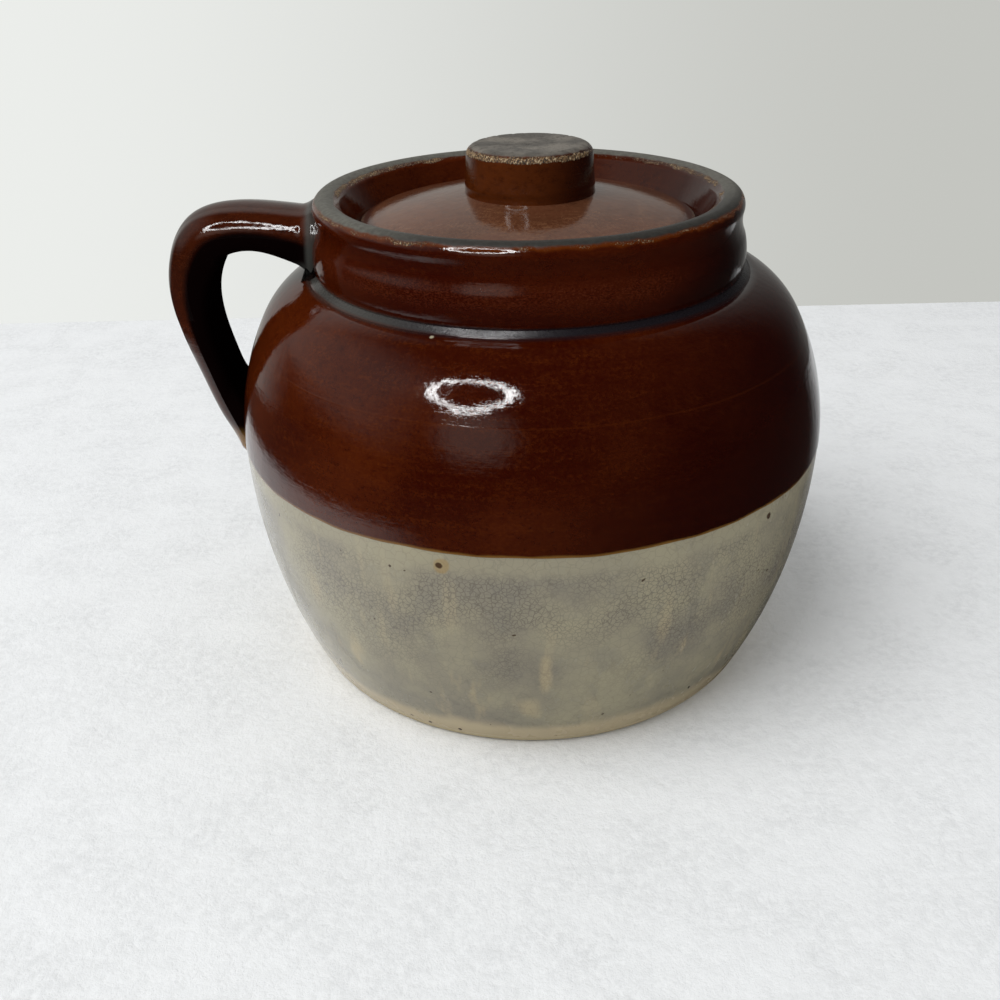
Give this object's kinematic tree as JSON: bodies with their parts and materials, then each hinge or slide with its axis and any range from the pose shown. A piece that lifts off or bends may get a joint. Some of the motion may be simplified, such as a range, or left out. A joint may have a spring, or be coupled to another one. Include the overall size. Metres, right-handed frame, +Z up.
{
  "type": "bean pot",
  "caption": "Wide stoneware bean pot with one strap handle and a lift-off lid with a squat knob, brown glazed above and buff glazed below.",
  "frame": {"origin": "centre of the pot's flat foot, on the surface it stands on", "axes": "+Z up along the pot's axis; the handle points along -X"},
  "size_m": [0.2024, 0.1858, 0.16],
  "materials": {
    "bare_stoneware": "fired, unglazed, matte",
    "buff_glaze": "thin clear gloss over grey-buff clay, finely crazed",
    "brown_glaze": "deep red-brown gloss with small mottling",
    "liner_glaze": "brown gloss",
    "lid_glaze": "brown gloss, worn on the knob's edge"
  },
  "bodies": {
    "pot": {"lower_body": "bare_stoneware", "upper_body": "bare_stoneware", "buff_glaze": "buff_glaze", "brown_glaze": "brown_glaze", "liner_glaze": "liner_glaze", "handle": "brown_glaze"},
    "lid": {"lid_plate": "bare_stoneware", "lid_glaze": "lid_glaze", "lid_knob": "bare_stoneware", "knob_glaze": "lid_glaze"}
  },
  "joints": [
    {"name": "lid_lift", "type": "slide", "parent": "pot", "child": "lid", "axis": [0, 0, 1], "range_m": [0, 0.05]}
  ]
}
